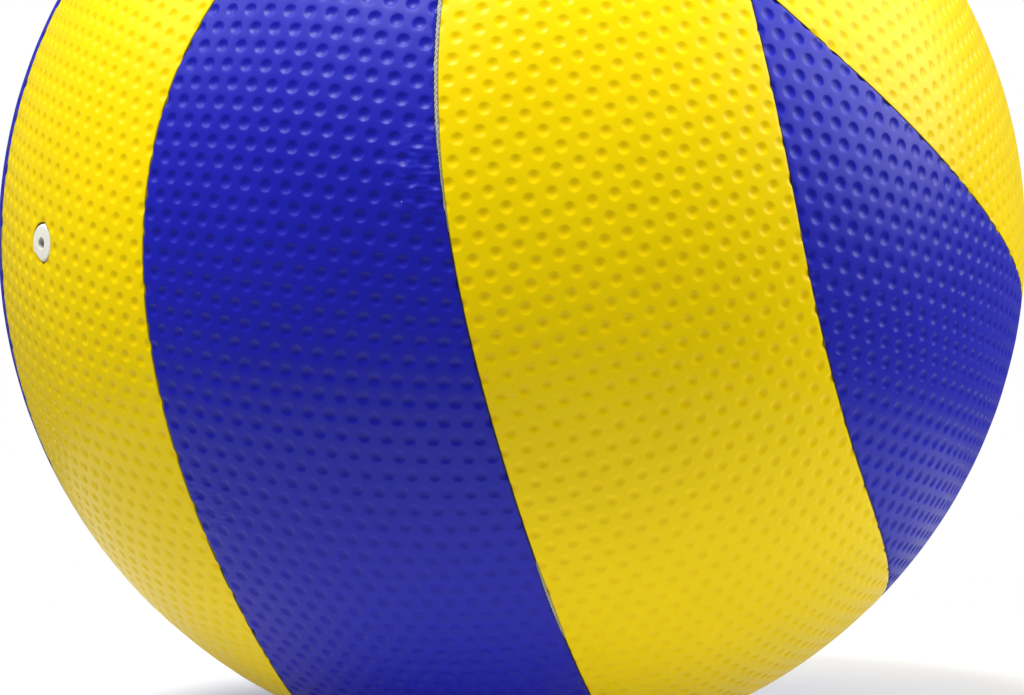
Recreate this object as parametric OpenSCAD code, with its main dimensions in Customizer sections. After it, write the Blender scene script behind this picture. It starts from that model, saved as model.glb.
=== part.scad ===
// Dimpled two-colour match volleyball: eight swirl panels over a wound carcass and a
// bladder, with a self-sealing valve. The origin is the centre of the ball, +Z is up and
// the valve looks along -X. The panel swirl turns about an axis of its own, tilted from +Z.
// All sizes are millimetres and degrees.

/* [Ball] */
// Diameter over the cover panels
ball_d = 210; // [160:1:270]

/* [Layers] */
// Thickness of the dimpled cover skin
cover_t = 0.9; // [0.6:0.1:1.5]
// Thickness of the foam backing behind each cover panel
backing_t = 2.4; // [1.2:0.1:4]
// Thickness of the rubber carcass
carcass_t = 0.4; // [0.3:0.1:1.2]
// Thickness of the nylon thread winding
winding_t = 0.3; // [0.2:0.1:1]
// Thickness of the bladder's wall
bladder_t = 0.5; // [0.3:0.1:1.5]
// Glue line between one layer and the next
glue_t = 0.1; // [0.05:0.05:0.3]

/* [Swirl panels] */
// Gap along the seams between neighbouring panels, at the ball's surface
seam_gap = 0.2; // [0.1:0.02:0.6]
// Latitude on the swirl at which a panel's pointed tip meets a long seam
tip_lat = 68.6; // [56:0.2:80]
// Sideways lean of the long seams at the swirl's equator, in longitude per quarter turn
long_lean = 78.6; // [66:0.2:92]
// How strongly the long seams curl back on leaving the equator
long_curl = 117.5; // [95:0.5:140]
// How strongly the long seams straighten again half way to the poles
long_bend = 169.7; // [140:0.5:200]
// Sideways lean of the short seams at the swirl's equator, in longitude per quarter turn
short_lean = 66.9; // [55:0.2:80]
// How strongly the short seams curl on towards the panel tips
short_curl = 65.7; // [50:0.5:80]
// How strongly the short seams straighten again half way to the panel tips
short_bend = 130.3; // [105:0.5:155]
// Tilt of the swirl's axis from upright, about the valve's axis
swirl_tilt = 41.4; // [0:0.2:90]
// Longitude on the swirl by which the valve stands aside of its panel's middle
valve_aside = -1.14; // [-8:0.02:8]
// Latitude on the swirl of the valve
valve_lat = -0.92; // [-8:0.02:8]

/* [Valve] */
// Diameter of the plug's head
plug_head_d = 7.4; // [5:0.1:10]
// Height of the plug's head, from its seat to the top of its crown
plug_head_h = 2; // [1.4:0.1:3]
// Radius of the crown on the plug's head
plug_crown_r = 12; // [8:1:30]
// Depth of the crown below the ball's surface
plug_recess = 0.2; // [0:0.1:0.6]
// Diameter of the plug's shank
plug_shank_d = 5.6; // [3.6:0.1:7]
// Length of the plug's shank below its head
plug_shank_l = 20; // [14:1:30]
// Diameter of the needle channel
needle_d = 2.1; // [1.6:0.1:2.8]
// Length of the needle channel, from the top of the crown
needle_l = 17; // [10:1:22]
// Width of the sealing slit through the plug's tip
slit_w = 0.3; // [0.2:0.05:0.5]
// Length of the sealing slit across the tip
slit_l = 1.6; // [1:0.1:2]
// Running clearance between the plug and the sleeve
plug_clear = 0.05; // [0.02:0.01:0.1]
// Clearance between the plug's head and the hole in the cover
cover_hole_clear = 0.25; // [0.1:0.05:0.5]
// Wall of the sleeve around the plug's head
sleeve_wall = 1.2; // [0.8:0.1:2]
// Clearance around the sleeve where it passes through the layers
sleeve_clear = 0.1; // [0.05:0.05:0.3]
// Length of the sleeve below the plug's head
sleeve_l = 18; // [12:1:26]
// Diameter of the sleeve's flange, bonded inside the bladder
flange_d = 30; // [18:1:45]
// Thickness of the sleeve's flange
flange_t = 1.2; // [0.6:0.1:2]

/* [Balance patch] */
// Diameter of the patch that balances the valve, opposite it inside the bladder
patch_d = 26; // [14:1:45]
// Thickness of the balance patch
patch_t = 1.5; // [0.5:0.1:3]

/* [Hidden] */

$fn = 160;
yellow = "#f0cc08";
blue = "#2b2aa0";
foam_white = "#e8e6df";
rubber_black = "#2c2c2e";
thread_grey = "#cfcabb";
butyl_grey = "#3a3a3c";
valve_white = "#f2efe4";

// Radii of the layers, from the outside in
ball_r = ball_d / 2;
cover_in_r = ball_r - cover_t;
backing_r = cover_in_r - glue_t;
backing_in_r = backing_r - backing_t;
carcass_r = backing_in_r - glue_t;
carcass_in_r = carcass_r - carcass_t;
winding_r = carcass_in_r - glue_t;
winding_in_r = winding_r - winding_t;
bladder_r = winding_in_r - glue_t;
bladder_in_r = bladder_r - bladder_t;
bonded_r = bladder_in_r - glue_t;

// Swirl: four lunes between long seams, each split by a short seam into a yellow and a
// blue panel. The lone panel that the functions draw is the first yellow one.
quarter = 90;
lune_step = 90;
seam_step = lune_step / 2;
long_lon = 22.5;
short_lon = long_lon + seam_step;
valve_panel = 2;
tip_share = tip_lat / quarter;
long_end = (long_lean - 3 * long_curl + 5 * long_bend) / 7;
short_end = (seam_step - short_lean * tip_share - short_curl * pow(tip_share, 3)
    + short_bend * pow(tip_share, 5) - long_swing(tip_lat)) / pow(tip_share, 7);
middle_steps = 28;
pole_steps = 6;
probe = 0.05;
panel_reach = 1.25 * ball_r;
lying_on_x = [0, 90, 0];
lying_on_y = [90, 0, 0];
upright = [0, 0, 0];
yellow_shell_turn = lying_on_x;
blue_shell_turns = [lying_on_y, upright, upright, lying_on_y];

// Valve, measured along its axis from the centre of the ball
crown_top = ball_r - plug_recess;
head_seat = crown_top - plug_head_h;
shank_end = head_seat - plug_shank_l;
needle_end = crown_top - needle_l;
head_bore_r = plug_head_d / 2 + plug_clear;
sleeve_bore_r = plug_shank_d / 2 + plug_clear;
sleeve_r = head_bore_r + sleeve_wall;
sleeve_top = sqrt(pow(backing_r, 2) - pow(sleeve_r, 2));
sleeve_end = head_seat - sleeve_l;
cover_hole_r = plug_head_d / 2 + cover_hole_clear;
layer_hole_r = sleeve_r + sleeve_clear;
past = 2;

// Longitude that a long seam swings by at a latitude, from where it crosses the equator
function long_swing(lat) = let (share = lat / quarter)
    -long_lean * share + long_curl * pow(share, 3) - long_bend * pow(share, 5) + long_end * pow(share, 7);

// The same for a short seam
function short_swing(lat) = let (share = lat / quarter)
    -short_lean * share - short_curl * pow(share, 3) + short_bend * pow(share, 5) - short_end * pow(share, 7);

// Longitudes of the panel's two sides at a latitude
function west_lon(lat) = lat > tip_lat
    ? long_lon + long_swing(lat)
    : short_lon + short_swing(lat);
function east_lon(lat) = long_lon + lune_step + long_swing(lat);

// Points of the unit sphere on the panel's two sides
function on_sphere(lon, lat) = [cos(lon) * cos(lat), sin(lon) * cos(lat), sin(lat)];
function west_point(lat) = on_sphere(west_lon(lat), lat);
function east_point(lat) = on_sphere(east_lon(lat), lat);
function unit(v) = v / norm(v);

// The same points moved into the panel by half the seam gap
inset = seam_gap / 2 / ball_r;
function inset_west(lat) = let (along = unit(west_point(lat + probe) - west_point(lat - probe)))
    unit(west_point(lat) + inset * cross(along, west_point(lat)));
function inset_east(lat) = let (along = unit(east_point(lat + probe) - east_point(lat - probe)))
    unit(east_point(lat) - inset * cross(along, east_point(lat)));

// A corner of the panel, moved in along its bisector until it clears both sides
function inset_corner(corner, one_side, other_side) =
    let (one = unit(one_side - corner), other = unit(other_side - corner), middle = unit(one + other))
    unit(corner + middle * inset / norm(cross(one, middle)));

// Latitudes along the panel between its two corners
middle_lats = [for (i = [1 : middle_steps]) tip_lat * (2 * i / middle_steps - 1)];
pole_lats = [for (i = [1 : pole_steps - 1]) tip_lat + (quarter - tip_lat) * i / pole_steps];
side_lats = concat(middle_lats, pole_lats);
side_count = len(side_lats);

// A wedge from the ball's centre out past its surface, in the shape of one panel
module panel_wedge() {
    tip = inset_corner(west_point(-tip_lat), west_point(probe - tip_lat), east_point(probe - tip_lat));
    pole = inset_corner([0, 0, 1], west_point(quarter - probe), east_point(quarter - probe));
    west = [for (lat = side_lats) inset_west(lat)];
    east = [for (lat = side_lats) inset_east(lat)];
    centre_i = 0;
    tip_i = 1;
    pole_i = 2;
    first_west = 3;
    first_east = first_west + side_count;
    last_west = first_east - 1;
    last_east = first_east + side_count - 1;
    points = concat([[0, 0, 0]], panel_reach * concat([tip, pole], west, east));
    west_wall = [for (i = [first_west : last_west - 1]) [centre_i, i, i + 1]];
    east_wall = [for (i = [first_east : last_east - 1]) [centre_i, i + 1, i]];
    lower_cap = [for (i = [0 : side_count - 2]) [first_west + i, first_east + i, first_east + i + 1]];
    upper_cap = [for (i = [0 : side_count - 2]) [first_west + i, first_east + i + 1, first_west + i + 1]];
    ends = [
        [centre_i, tip_i, first_west], [centre_i, first_east, tip_i], [tip_i, first_east, first_west],
        [centre_i, last_west, pole_i], [centre_i, pole_i, last_east], [last_west, last_east, pole_i]
    ];
    faces = concat(west_wall, east_wall, lower_cap, upper_cap, ends);
    polyhedron(points, [for (face = faces) [face[2], face[1], face[0]]]);
}

// Turns the lone panel to a yellow place, or end over end to the blue place beside it, with
// the swirl turned so that the valve's place on it looks along -X
module yellow_place(number) {
    rotate([swirl_tilt, 0, 0]) rotate([0, -valve_lat, 0])
        rotate([0, 0, lune_step * (number - 1) - valve_aside]) children();
}
module blue_place(number) {
    half_turn = [cos(short_lon), sin(short_lon), 0];
    yellow_place(number) rotate(a = 180, v = half_turn) children();
}

// Turns what is drawn along +Z to the valve's side, or to the side opposite
module at_valve() rotate([0, -90, 0]) children();
module opposite_valve() rotate([0, 90, 0]) children();

module shell(outer_r, inner_r) {
    difference() {
        sphere(r = outer_r);
        sphere(r = inner_r);
    }
}
module valve_hole(r) at_valve() translate([0, 0, shank_end]) cylinder(r = r, h = panel_reach - shank_end);
module drilled_shell(outer_r, inner_r) {
    difference() {
        shell(outer_r, inner_r);
        valve_hole(layer_hole_r);
    }
}
// A round piece of a shell, centred on +Z
module shell_disc(outer_r, inner_r, disc_d) {
    intersection() {
        shell(outer_r, inner_r);
        cylinder(d = disc_d, h = ball_r);
    }
}

// A layer of a panel, cut from a shell that is turned to suit the panel's place
module yellow_layer(number, outer_r, inner_r, hole_r) {
    difference() {
        intersection() {
            rotate(yellow_shell_turn) shell(outer_r, inner_r);
            yellow_place(number) panel_wedge();
        }
        if (number == valve_panel) valve_hole(hole_r);
    }
}
module blue_layer(number, outer_r, inner_r) {
    intersection() {
        rotate(blue_shell_turns[number - 1]) shell(outer_r, inner_r);
        blue_place(number) panel_wedge();
    }
}

module yellow_cover(number) color(yellow) yellow_layer(number, ball_r, cover_in_r, cover_hole_r);
module blue_cover(number) color(blue) blue_layer(number, ball_r, cover_in_r);
module yellow_backing(number) color(foam_white) yellow_layer(number, backing_r, backing_in_r, layer_hole_r);
module blue_backing(number) color(foam_white) blue_layer(number, backing_r, backing_in_r);
module carcass() color(rubber_black) drilled_shell(carcass_r, carcass_in_r);
module thread_winding() color(thread_grey) drilled_shell(winding_r, winding_in_r);
module bladder() color(butyl_grey) drilled_shell(bladder_r, bladder_in_r);
module balance_patch() {
    color(butyl_grey) opposite_valve() shell_disc(bonded_r, bonded_r - patch_t, patch_d);
}

module valve_sleeve() {
    color(rubber_black) at_valve() difference() {
        union() {
            translate([0, 0, sleeve_end]) cylinder(r = sleeve_r, h = sleeve_top - sleeve_end);
            shell_disc(bonded_r, bonded_r - flange_t, flange_d);
        }
        translate([0, 0, sleeve_end - past]) cylinder(r = sleeve_bore_r, h = panel_reach - sleeve_end);
        translate([0, 0, head_seat - plug_clear]) cylinder(r = head_bore_r, h = panel_reach - head_seat);
    }
}

module valve_plug() {
    color(valve_white) at_valve() difference() {
        union() {
            translate([0, 0, shank_end]) cylinder(d = plug_shank_d, h = plug_shank_l);
            intersection() {
                translate([0, 0, head_seat]) cylinder(d = plug_head_d, h = plug_head_h);
                translate([0, 0, crown_top - plug_crown_r]) sphere(r = plug_crown_r);
            }
        }
        translate([0, 0, needle_end]) cylinder(d = needle_d, h = needle_l + past);
        translate([-slit_w / 2, -slit_l / 2, shank_end - past])
            cube([slit_w, slit_l, needle_end - shank_end + 2 * past]);
    }
}

yellow_cover(1);  // yellow_cover_1
yellow_cover(2);  // yellow_cover_2
yellow_cover(3);  // yellow_cover_3
yellow_cover(4);  // yellow_cover_4
blue_cover(1);  // blue_cover_1
blue_cover(2);  // blue_cover_2
blue_cover(3);  // blue_cover_3
blue_cover(4);  // blue_cover_4
yellow_backing(1);  // yellow_backing_1
yellow_backing(2);  // yellow_backing_2
yellow_backing(3);  // yellow_backing_3
yellow_backing(4);  // yellow_backing_4
blue_backing(1);  // blue_backing_1
blue_backing(2);  // blue_backing_2
blue_backing(3);  // blue_backing_3
blue_backing(4);  // blue_backing_4
carcass();
thread_winding();
bladder();
balance_patch();
valve_sleeve();
valve_plug();
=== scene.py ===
"""Looks of a dimpled two-colour match volleyball, built around its CAD frame.

Eight swirl panels of pressed leather, the pale cloth that shows along one seam, the valve plug, and the
finishes of the layers inside. The shaping code works in millimetres and degrees; meshes and settings are in
metres and radians.
"""

import math
from functools import partial

import bmesh
import bpy
import numpy as np
from mathutils import Matrix, Vector
from mathutils.geometry import delaunay_2d_cdt


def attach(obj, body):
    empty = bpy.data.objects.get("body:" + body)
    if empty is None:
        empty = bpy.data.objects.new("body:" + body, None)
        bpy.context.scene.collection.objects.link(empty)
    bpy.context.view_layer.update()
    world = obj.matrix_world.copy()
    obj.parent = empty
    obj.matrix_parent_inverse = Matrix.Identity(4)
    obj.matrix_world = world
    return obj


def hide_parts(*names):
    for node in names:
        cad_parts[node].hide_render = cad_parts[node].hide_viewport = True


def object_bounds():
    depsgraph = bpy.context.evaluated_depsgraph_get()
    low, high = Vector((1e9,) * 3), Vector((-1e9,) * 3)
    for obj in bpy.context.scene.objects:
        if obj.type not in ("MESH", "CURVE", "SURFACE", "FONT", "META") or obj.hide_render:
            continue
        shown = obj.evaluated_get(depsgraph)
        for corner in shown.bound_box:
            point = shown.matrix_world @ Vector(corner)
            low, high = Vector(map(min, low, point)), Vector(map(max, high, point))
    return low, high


bl_info = {
    "name": "Dimpled volleyball",
    "version": (1, 0, 0),
    "blender": (4, 5, 0),
    "location": "View3D > Sidebar > Volleyball",
    "description": "Builds the looks of a dimpled two-colour volleyball around its CAD frame",
    "category": "Object",
}

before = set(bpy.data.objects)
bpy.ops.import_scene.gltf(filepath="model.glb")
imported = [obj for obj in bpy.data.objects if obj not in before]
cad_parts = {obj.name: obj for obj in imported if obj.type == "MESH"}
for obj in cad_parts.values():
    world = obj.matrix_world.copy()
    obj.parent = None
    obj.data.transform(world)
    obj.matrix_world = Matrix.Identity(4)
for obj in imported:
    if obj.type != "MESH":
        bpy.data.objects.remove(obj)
cad_low, cad_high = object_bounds()

MM = 0.001

# The swirl's seams, in degrees of longitude where they cross its equator
QUARTER = 90.0
LUNE_STEP = 90.0
LONG_LON = 22.5
SHORT_LON = LONG_LON + LUNE_STEP / 2

# Panels of each colour, counted from 1, the valve's direction, and where on the lattice of dimples the panels
# are cut, as shares of its pitch that add up from panel to panel
PANEL_COUNT = 4
VALVE_PANEL = 2
CLOTH_PANEL = 3
VALVE_WAY = np.array([-1.0, 0.0, 0.0])
ROW_PHASE, SLANT_PHASE, BLUE_PHASE = 0.37, 0.61, 0.25

# Fine mesh of the pressed sheet: steps from one dimple to the next, the radii of the rings around each
# dimple's middle as shares of its rim's radius, and the width of the strip that joins it to the cut edges
FINE_STEPS = 9
RING_SHARES = np.array([0.0, 0.45, 0.8, 0.97, 1.07])
STRIP_WIDTH = 0.24

# Coarser meshes: step on a panel's back, points around the valve's hole, around the plug and the table, and
# along a rounded edge, distance at which points merge, and least cosine for the reach of a straight side
INNER_STEP = 7.0
HOLE_POINTS = 96
LATHE_STEPS = 64
BEND_STEPS = 7
MERGE_DISTANCE = 0.002
LEAST_COSINE = 0.01

# The open seam: latitudes searched for it, those over which it closes again, how blunt its lower stretch is
# and the least width that counts
CLOTH_LATS = np.arange(-20.0, 70.0, 0.2)
CLOSING_LATS = 4
LOWER_FULLNESS = 1.4
LEAST_OPENING = 0.04

# The cloth in it: how far it reaches under each panel, and its section as shares of the width with heights
TUCK = 0.03
CLOTH_SECTION = ((0, 0), (0.25, 0.1), (0.5, 0.14), (0.75, 0.1), (1, 0), (1, -0.4), (0, -0.4))

# The threads on the cloth: their height, the shares of the width at which the two rows lie, their height
# over their width, the least share of full size, and the seam's length over the latitude that it spans
THREAD_LIFT = 0.1
THREAD_ROWS = np.array([0.26, 0.74])
THREAD_FLATNESS = 0.6
LEAST_THREAD = 0.3
SEAM_SLANT = 1.2

# The range in which most values of a noise texture lie
NOISE_SPAN = {"From Min": 0.3, "From Max": 0.7}

MATH = "ShaderNodeMath"
VECTOR_MATH = "ShaderNodeVectorMath"
MAP_RANGE = "ShaderNodeMapRange"
MIX = "ShaderNodeMix"
BUMP = "ShaderNodeBump"
NOISE = "ShaderNodeTexNoise"
ATTRIBUTE = "GeometryNodeInputNamedAttribute"
SHADER = "ShaderNodeBsdfPrincipled"


def linear_colour(hex_code):
    """An sRGB hex value as linear red, green and blue."""
    levels = [int(hex_code[first:first + 2], 16) / 255 for first in (1, 3, 5)]
    return [level / 12.92 if level <= 0.04045 else ((level + 0.055) / 1.055) ** 2.4 for level in levels]


def setting(kind, name, description, default, **look):
    """One setting of a PropertyGroup."""
    return kind(name=name, description=description, default=default, **look)


# Kinds of setting: a plain number, a length in metres, three numbers, and a place in metres
number = partial(setting, bpy.props.FloatProperty, precision=4)
length = partial(number, subtype="DISTANCE", unit="LENGTH", precision=5)
triple = partial(setting, bpy.props.FloatVectorProperty, size=3)
spot = partial(triple, subtype="XYZ_LENGTH", unit="LENGTH")


def angle(name, description, default):
    """An angle setting, given in degrees."""
    return number(name, description, math.radians(default), subtype="ANGLE", unit="ROTATION")


def colour(name, description, hex_code):
    """A colour setting, given as an sRGB hex value."""
    return triple(name, description, linear_colour(hex_code), subtype="COLOR", min=0, max=1)


class PanelCutSettings(bpy.types.PropertyGroup):
    """How the eight swirl panels are cut, as in the CAD model"""

    ball_diameter: length("Ball diameter", "Diameter over the cover panels", cad_high[2] - cad_low[2])
    cover_thickness: length("Cover thickness", "Thickness of the dimpled skin", 0.0009)
    seam_gap: length("Seam gap", "Gap between neighbouring panels", 0.0002)
    tip_latitude: angle("Tip latitude", "Latitude on the swirl of a panel's pointed tip", 68.6)
    long_lean: number("Long seam lean", "Longitude per quarter turn at the equator, in degrees", 78.6)
    long_curl: number("Long seam curl", "How strongly the long seams curl back, in degrees", 117.5)
    long_bend: number("Long seam bend", "How strongly the long seams straighten again, in degrees", 169.7)
    short_lean: number("Short seam lean", "Longitude per quarter turn at the equator, in degrees", 66.9)
    short_curl: number("Short seam curl", "How strongly the short seams curl on, in degrees", 65.7)
    short_bend: number("Short seam bend", "How strongly the short seams straighten again, in degrees", 130.3)
    swirl_tilt: angle("Swirl tilt", "Tilt of the swirl's axis about the valve's axis", 41.4)
    valve_aside: angle("Valve aside", "Longitude of the valve from its panel's middle", -1.14)
    valve_latitude: angle("Valve latitude", "Latitude of the valve on the swirl", -0.92)


class PressingSettings(bpy.types.PropertyGroup):
    """The dimples pressed into the skin, and how its edges are turned down into the seams"""

    pitch: length("Dimple pitch", "From one dimple to the next", 0.00415)
    diameter: length("Dimple diameter", "Across a dimple's rim", 0.00266)
    yellow_depth: length("Yellow dimple depth", "From the skin to the bottom of a yellow dimple", 0.00033)
    blue_depth: length("Blue dimple depth", "From the skin to the bottom of a blue dimple", 0.00038)
    yellow_rim: number("Yellow dimple rim", "How softly a yellow dimple starts, 1 for a sharp rim", 1.6)
    blue_rim: number("Blue dimple rim", "How softly a blue dimple starts, 1 for a sharp rim", 1.12)
    row_turn: angle("Row turn", "Turn of the dimple rows from the swirl's north, at a panel's middle", -3)
    roll_width: length("Edge roll width", "Strip along a seam that is turned down", 0.0004)
    roll_depth: length("Edge roll depth", "How far the edge is turned down at the seam", 0.00006)
    ripple_size: length("Ripple size", "Width of the slight waves in the skin", 0.009)
    ripple_depth: length("Ripple depth", "Height of the slight waves in the skin", 0.00012)


class ClothEdgeSettings(bpy.types.PropertyGroup):
    """The backing cloth that shows where one seam stands open"""

    width: length("Cloth width", "Width that shows along the open seam", 0.00058)
    yellow_share: number("Yellow share", "Share of that width by which the yellow panel stands back", 0.35)
    start: angle("Open from", "Latitude on the swirl at which the seam starts to open", 31)
    full: angle("Fully open from", "Latitude from which it is fully open", 41)
    end: angle("Open to", "Latitude up to which it is fully open", 55)
    low_width: length("Lower cloth width", "Width that shows along the lower open stretch", 0.00042)
    low_middle: angle("Lower middle", "Latitude of the middle of the lower open stretch", -0.5)
    low_reach: angle("Lower reach", "Latitude over which the lower stretch closes again", 5)
    depth: length("Cloth depth", "Depth of the cloth below the ball's surface", 0.00045)
    thread_pitch: length("Thread pitch", "From one thread of the cloth's edge to the next", 0.001)
    thread_length: length("Thread length", "Length of a thread that shows", 0.00095)
    thread_width: length("Thread width", "Width of a thread", 0.00034)
    thread_slant: angle("Thread slant", "Slant of the threads from the seam", 16)


class ValveSettings(bpy.types.PropertyGroup):
    """The white valve plug, sized as in the CAD model but for its flatter, leaning head"""

    head_diameter: length("Head diameter", "Diameter of the plug's head", 0.0074)
    head_height: length("Head height", "From the seat to the top of the crown", 0.002)
    crown_radius: length("Crown radius", "Radius of the crown on the head", 0.06)
    recess: length("Recess", "Depth of the crown below the ball's surface", 0.00005)
    rim_round: length("Rim rounding", "Radius of the head's rounded rim", 0.0006)
    fillet: length("Fillet", "Radius of the other rounded edges", 0.0003)
    shank_diameter: length("Shank diameter", "Diameter of the shank", 0.0056)
    shank_length: length("Shank length", "Length of the shank below the head", 0.02)
    needle_diameter: length("Needle channel", "Diameter of the needle channel", 0.0021)
    needle_length: length("Channel length", "From the crown to the channel's end", 0.017)
    needle_taper: length("Channel taper", "Length over which the channel's end narrows", 0.0005)
    needle_end: number("Channel end", "Share of the channel's width that is left at its end", 0.6)
    needle_round: length("Channel rounding", "Radius of the rounded mouth of the channel", 0.00012)
    hole_clear: length("Hole clearance", "Gap between the head and the hole in the cover", 0.00025)
    slit_width: length("Slit width", "Width of the slit at the channel's end", 0.0003)
    slit_length: length("Slit length", "Length of the slit at the channel's end", 0.0016)
    flat: length("Flat side", "From the axis to the straight side of the hole in the cover", 0.00288)
    flat_clear: length("Flat clearance", "Gap between the hole's straight side and the head's", 0.00005)
    flat_turn: angle("Flat side turn", "Direction of the straight side, from straight down towards +Y", 35)
    lean: angle("Head lean", "How far the head leans over towards -Y", 5.8)


class FinishSettings(bpy.types.PropertyGroup):
    """Colours of the visible and hidden materials, and the gloss and creases of the skin"""

    yellow: colour("Yellow leather", "Colour of the yellow panels", "#E8CB00")
    # Painted shade: the darker, more orange colour at the bottom of each yellow dimple
    yellow_deep: colour("Deep yellow", "Colour at the bottom of a yellow dimple", "#E4AC00")
    yellow_gloss: number("Yellow gloss", "Specular level of the yellow panels", 0.09)
    yellow_roughness: number("Yellow roughness", "Roughness of the yellow panels", 0.31)
    blue: colour("Blue leather", "Colour of the blue panels", "#171AA3")
    # Painted shade: the darker colour at the bottom of each blue dimple
    blue_deep: colour("Deep blue", "Colour at the bottom of a blue dimple", "#0C0C88")
    blue_gloss: number("Blue gloss", "Specular level of the blue panels", 0.19)
    blue_roughness: number("Blue roughness", "Roughness of the blue panels", 0.4)
    upper_creases: spot("Upper creases", "Where blue skin is creased by a seam", (-0.0669, -0.0801, 0.0115))
    lower_creases: spot("Lower creases", "Where it is creased lower down", (-0.0868, -0.0328, -0.0492))
    dust: colour("Dust", "Colour of the specks of dust", "#C9C6B8")
    # Painted shade: the dark colour of the cut edges down in the seams, and of the skin right beside a seam
    # or the valve's hole
    cut_edge: colour("Cut edge", "Colour of the skin's cut edges, down in the seams", "#2A2620")
    cloth: colour("Backing cloth", "Colour of the cloth behind the skin", "#A6A89E")
    yarn: colour("Yarn", "Colour of the threads along the cloth's edge", "#BCBDB6")
    valve: colour("Valve rubber", "Colour of the white valve plug", "#E4E2D6")
    # Painted shade: the greyer colour inside the needle channel
    channel: colour("Needle channel", "Colour of the worn rubber in the needle channel", "#BABAAE")
    foam: colour("Foam", "Colour of the foam backing", "#CFCBBE")
    rubber: colour("Carcass rubber", "Colour of the carcass and the valve's sleeve", "#26262A")
    thread: colour("Winding thread", "Colour of the nylon winding", "#CFCABB")
    butyl: colour("Butyl", "Colour of the bladder and its patch", "#303034")


class StageSettings(bpy.types.PropertyGroup):
    """Camera, table and light. A softbox's place is to the right, towards the camera and up from the ball"""

    camera_azimuth: angle("Camera azimuth", "Way to the camera from the ball, from -Y towards +X", -32.051)
    camera_elevation: angle("Camera elevation", "Height of the camera, from the ball's centre", 0.22)
    camera_distance: length("Camera distance", "From the ball's centre to the camera", 0.62961)
    aim_height: length("Aim height", "Height of the point that the camera looks at", -0.021845)
    lens: number("Lens", "Focal length in millimetres, on a sensor 36 mm wide", 106.756)
    table_diameter: length("Table diameter", "Diameter of the round white table", 0.5)
    table: colour("Table", "Colour of the table as it lights the ball", "#D6D6D4")
    table_seen: colour("Table seen", "Colour of the table as the camera sees it", "#F6F6F4")
    key_place: spot("Key place", "Where the key softbox hangs", (-0.27, 0.37, 0.9))
    key_size: length("Key size", "Diameter of the key softbox", 0.5)
    key_light: number("Key light", "Light from the face of the key softbox", 23.5)
    left_place: spot("Left place", "Where the left softbox hangs", (-0.8, 0, 0.8))
    left_size: length("Left size", "Diameter of the left softbox", 0.7)
    left_light: number("Left light", "Light from the face of the left softbox", 4.6)
    right_place: spot("Right place", "Where the right softbox hangs", (0.88, 0, 0.55))
    right_size: length("Right size", "Diameter of the right softbox", 1.05)
    right_light: number("Right light", "Light from the face of the right softbox", 5.4)
    room_light: number("Room light", "Light from the dim room around the table", 0.175)


SETTINGS = {
    "ball_cut": PanelCutSettings,
    "ball_pressing": PressingSettings,
    "ball_cloth": ClothEdgeSettings,
    "ball_valve": ValveSettings,
    "ball_finish": FinishSettings,
    "ball_stage": StageSettings,
}


def unit(vectors):
    """Vectors of length one."""
    return vectors / np.linalg.norm(vectors, axis=-1, keepdims=True)


def dot(one, other):
    """Scalar products, row by row."""
    return (one * other).sum(axis=-1)


def on_sphere(lon, lat):
    """Points of the unit sphere at a longitude and latitude in degrees."""
    lon, lat = np.radians(lon), np.radians(lat)
    return np.stack([np.cos(lon) * np.cos(lat), np.sin(lon) * np.cos(lat), np.sin(lat)], axis=-1)


def latitude(points):
    """Latitudes of points of the unit sphere, in degrees."""
    return np.degrees(np.arcsin(np.clip(points[:, 2], -1, 1)))


def steps_along(points):
    """Distance of each point of a line from the one before it, 0 for the first."""
    return np.linalg.norm(np.diff(points, axis=0, prepend=points[:1]), axis=1)


def running_sum(values, along):
    """Sum of values along a line up to each of its points, by the trapezium rule."""
    parts = (values[1:] + values[:-1]).T / 2 * np.diff(along)
    return np.concatenate([np.zeros_like(values[:1]), np.cumsum(parts.T, axis=0)])


def shut(lat):
    """The opening of a seam that stands shut."""
    return np.zeros_like(lat)


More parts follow.
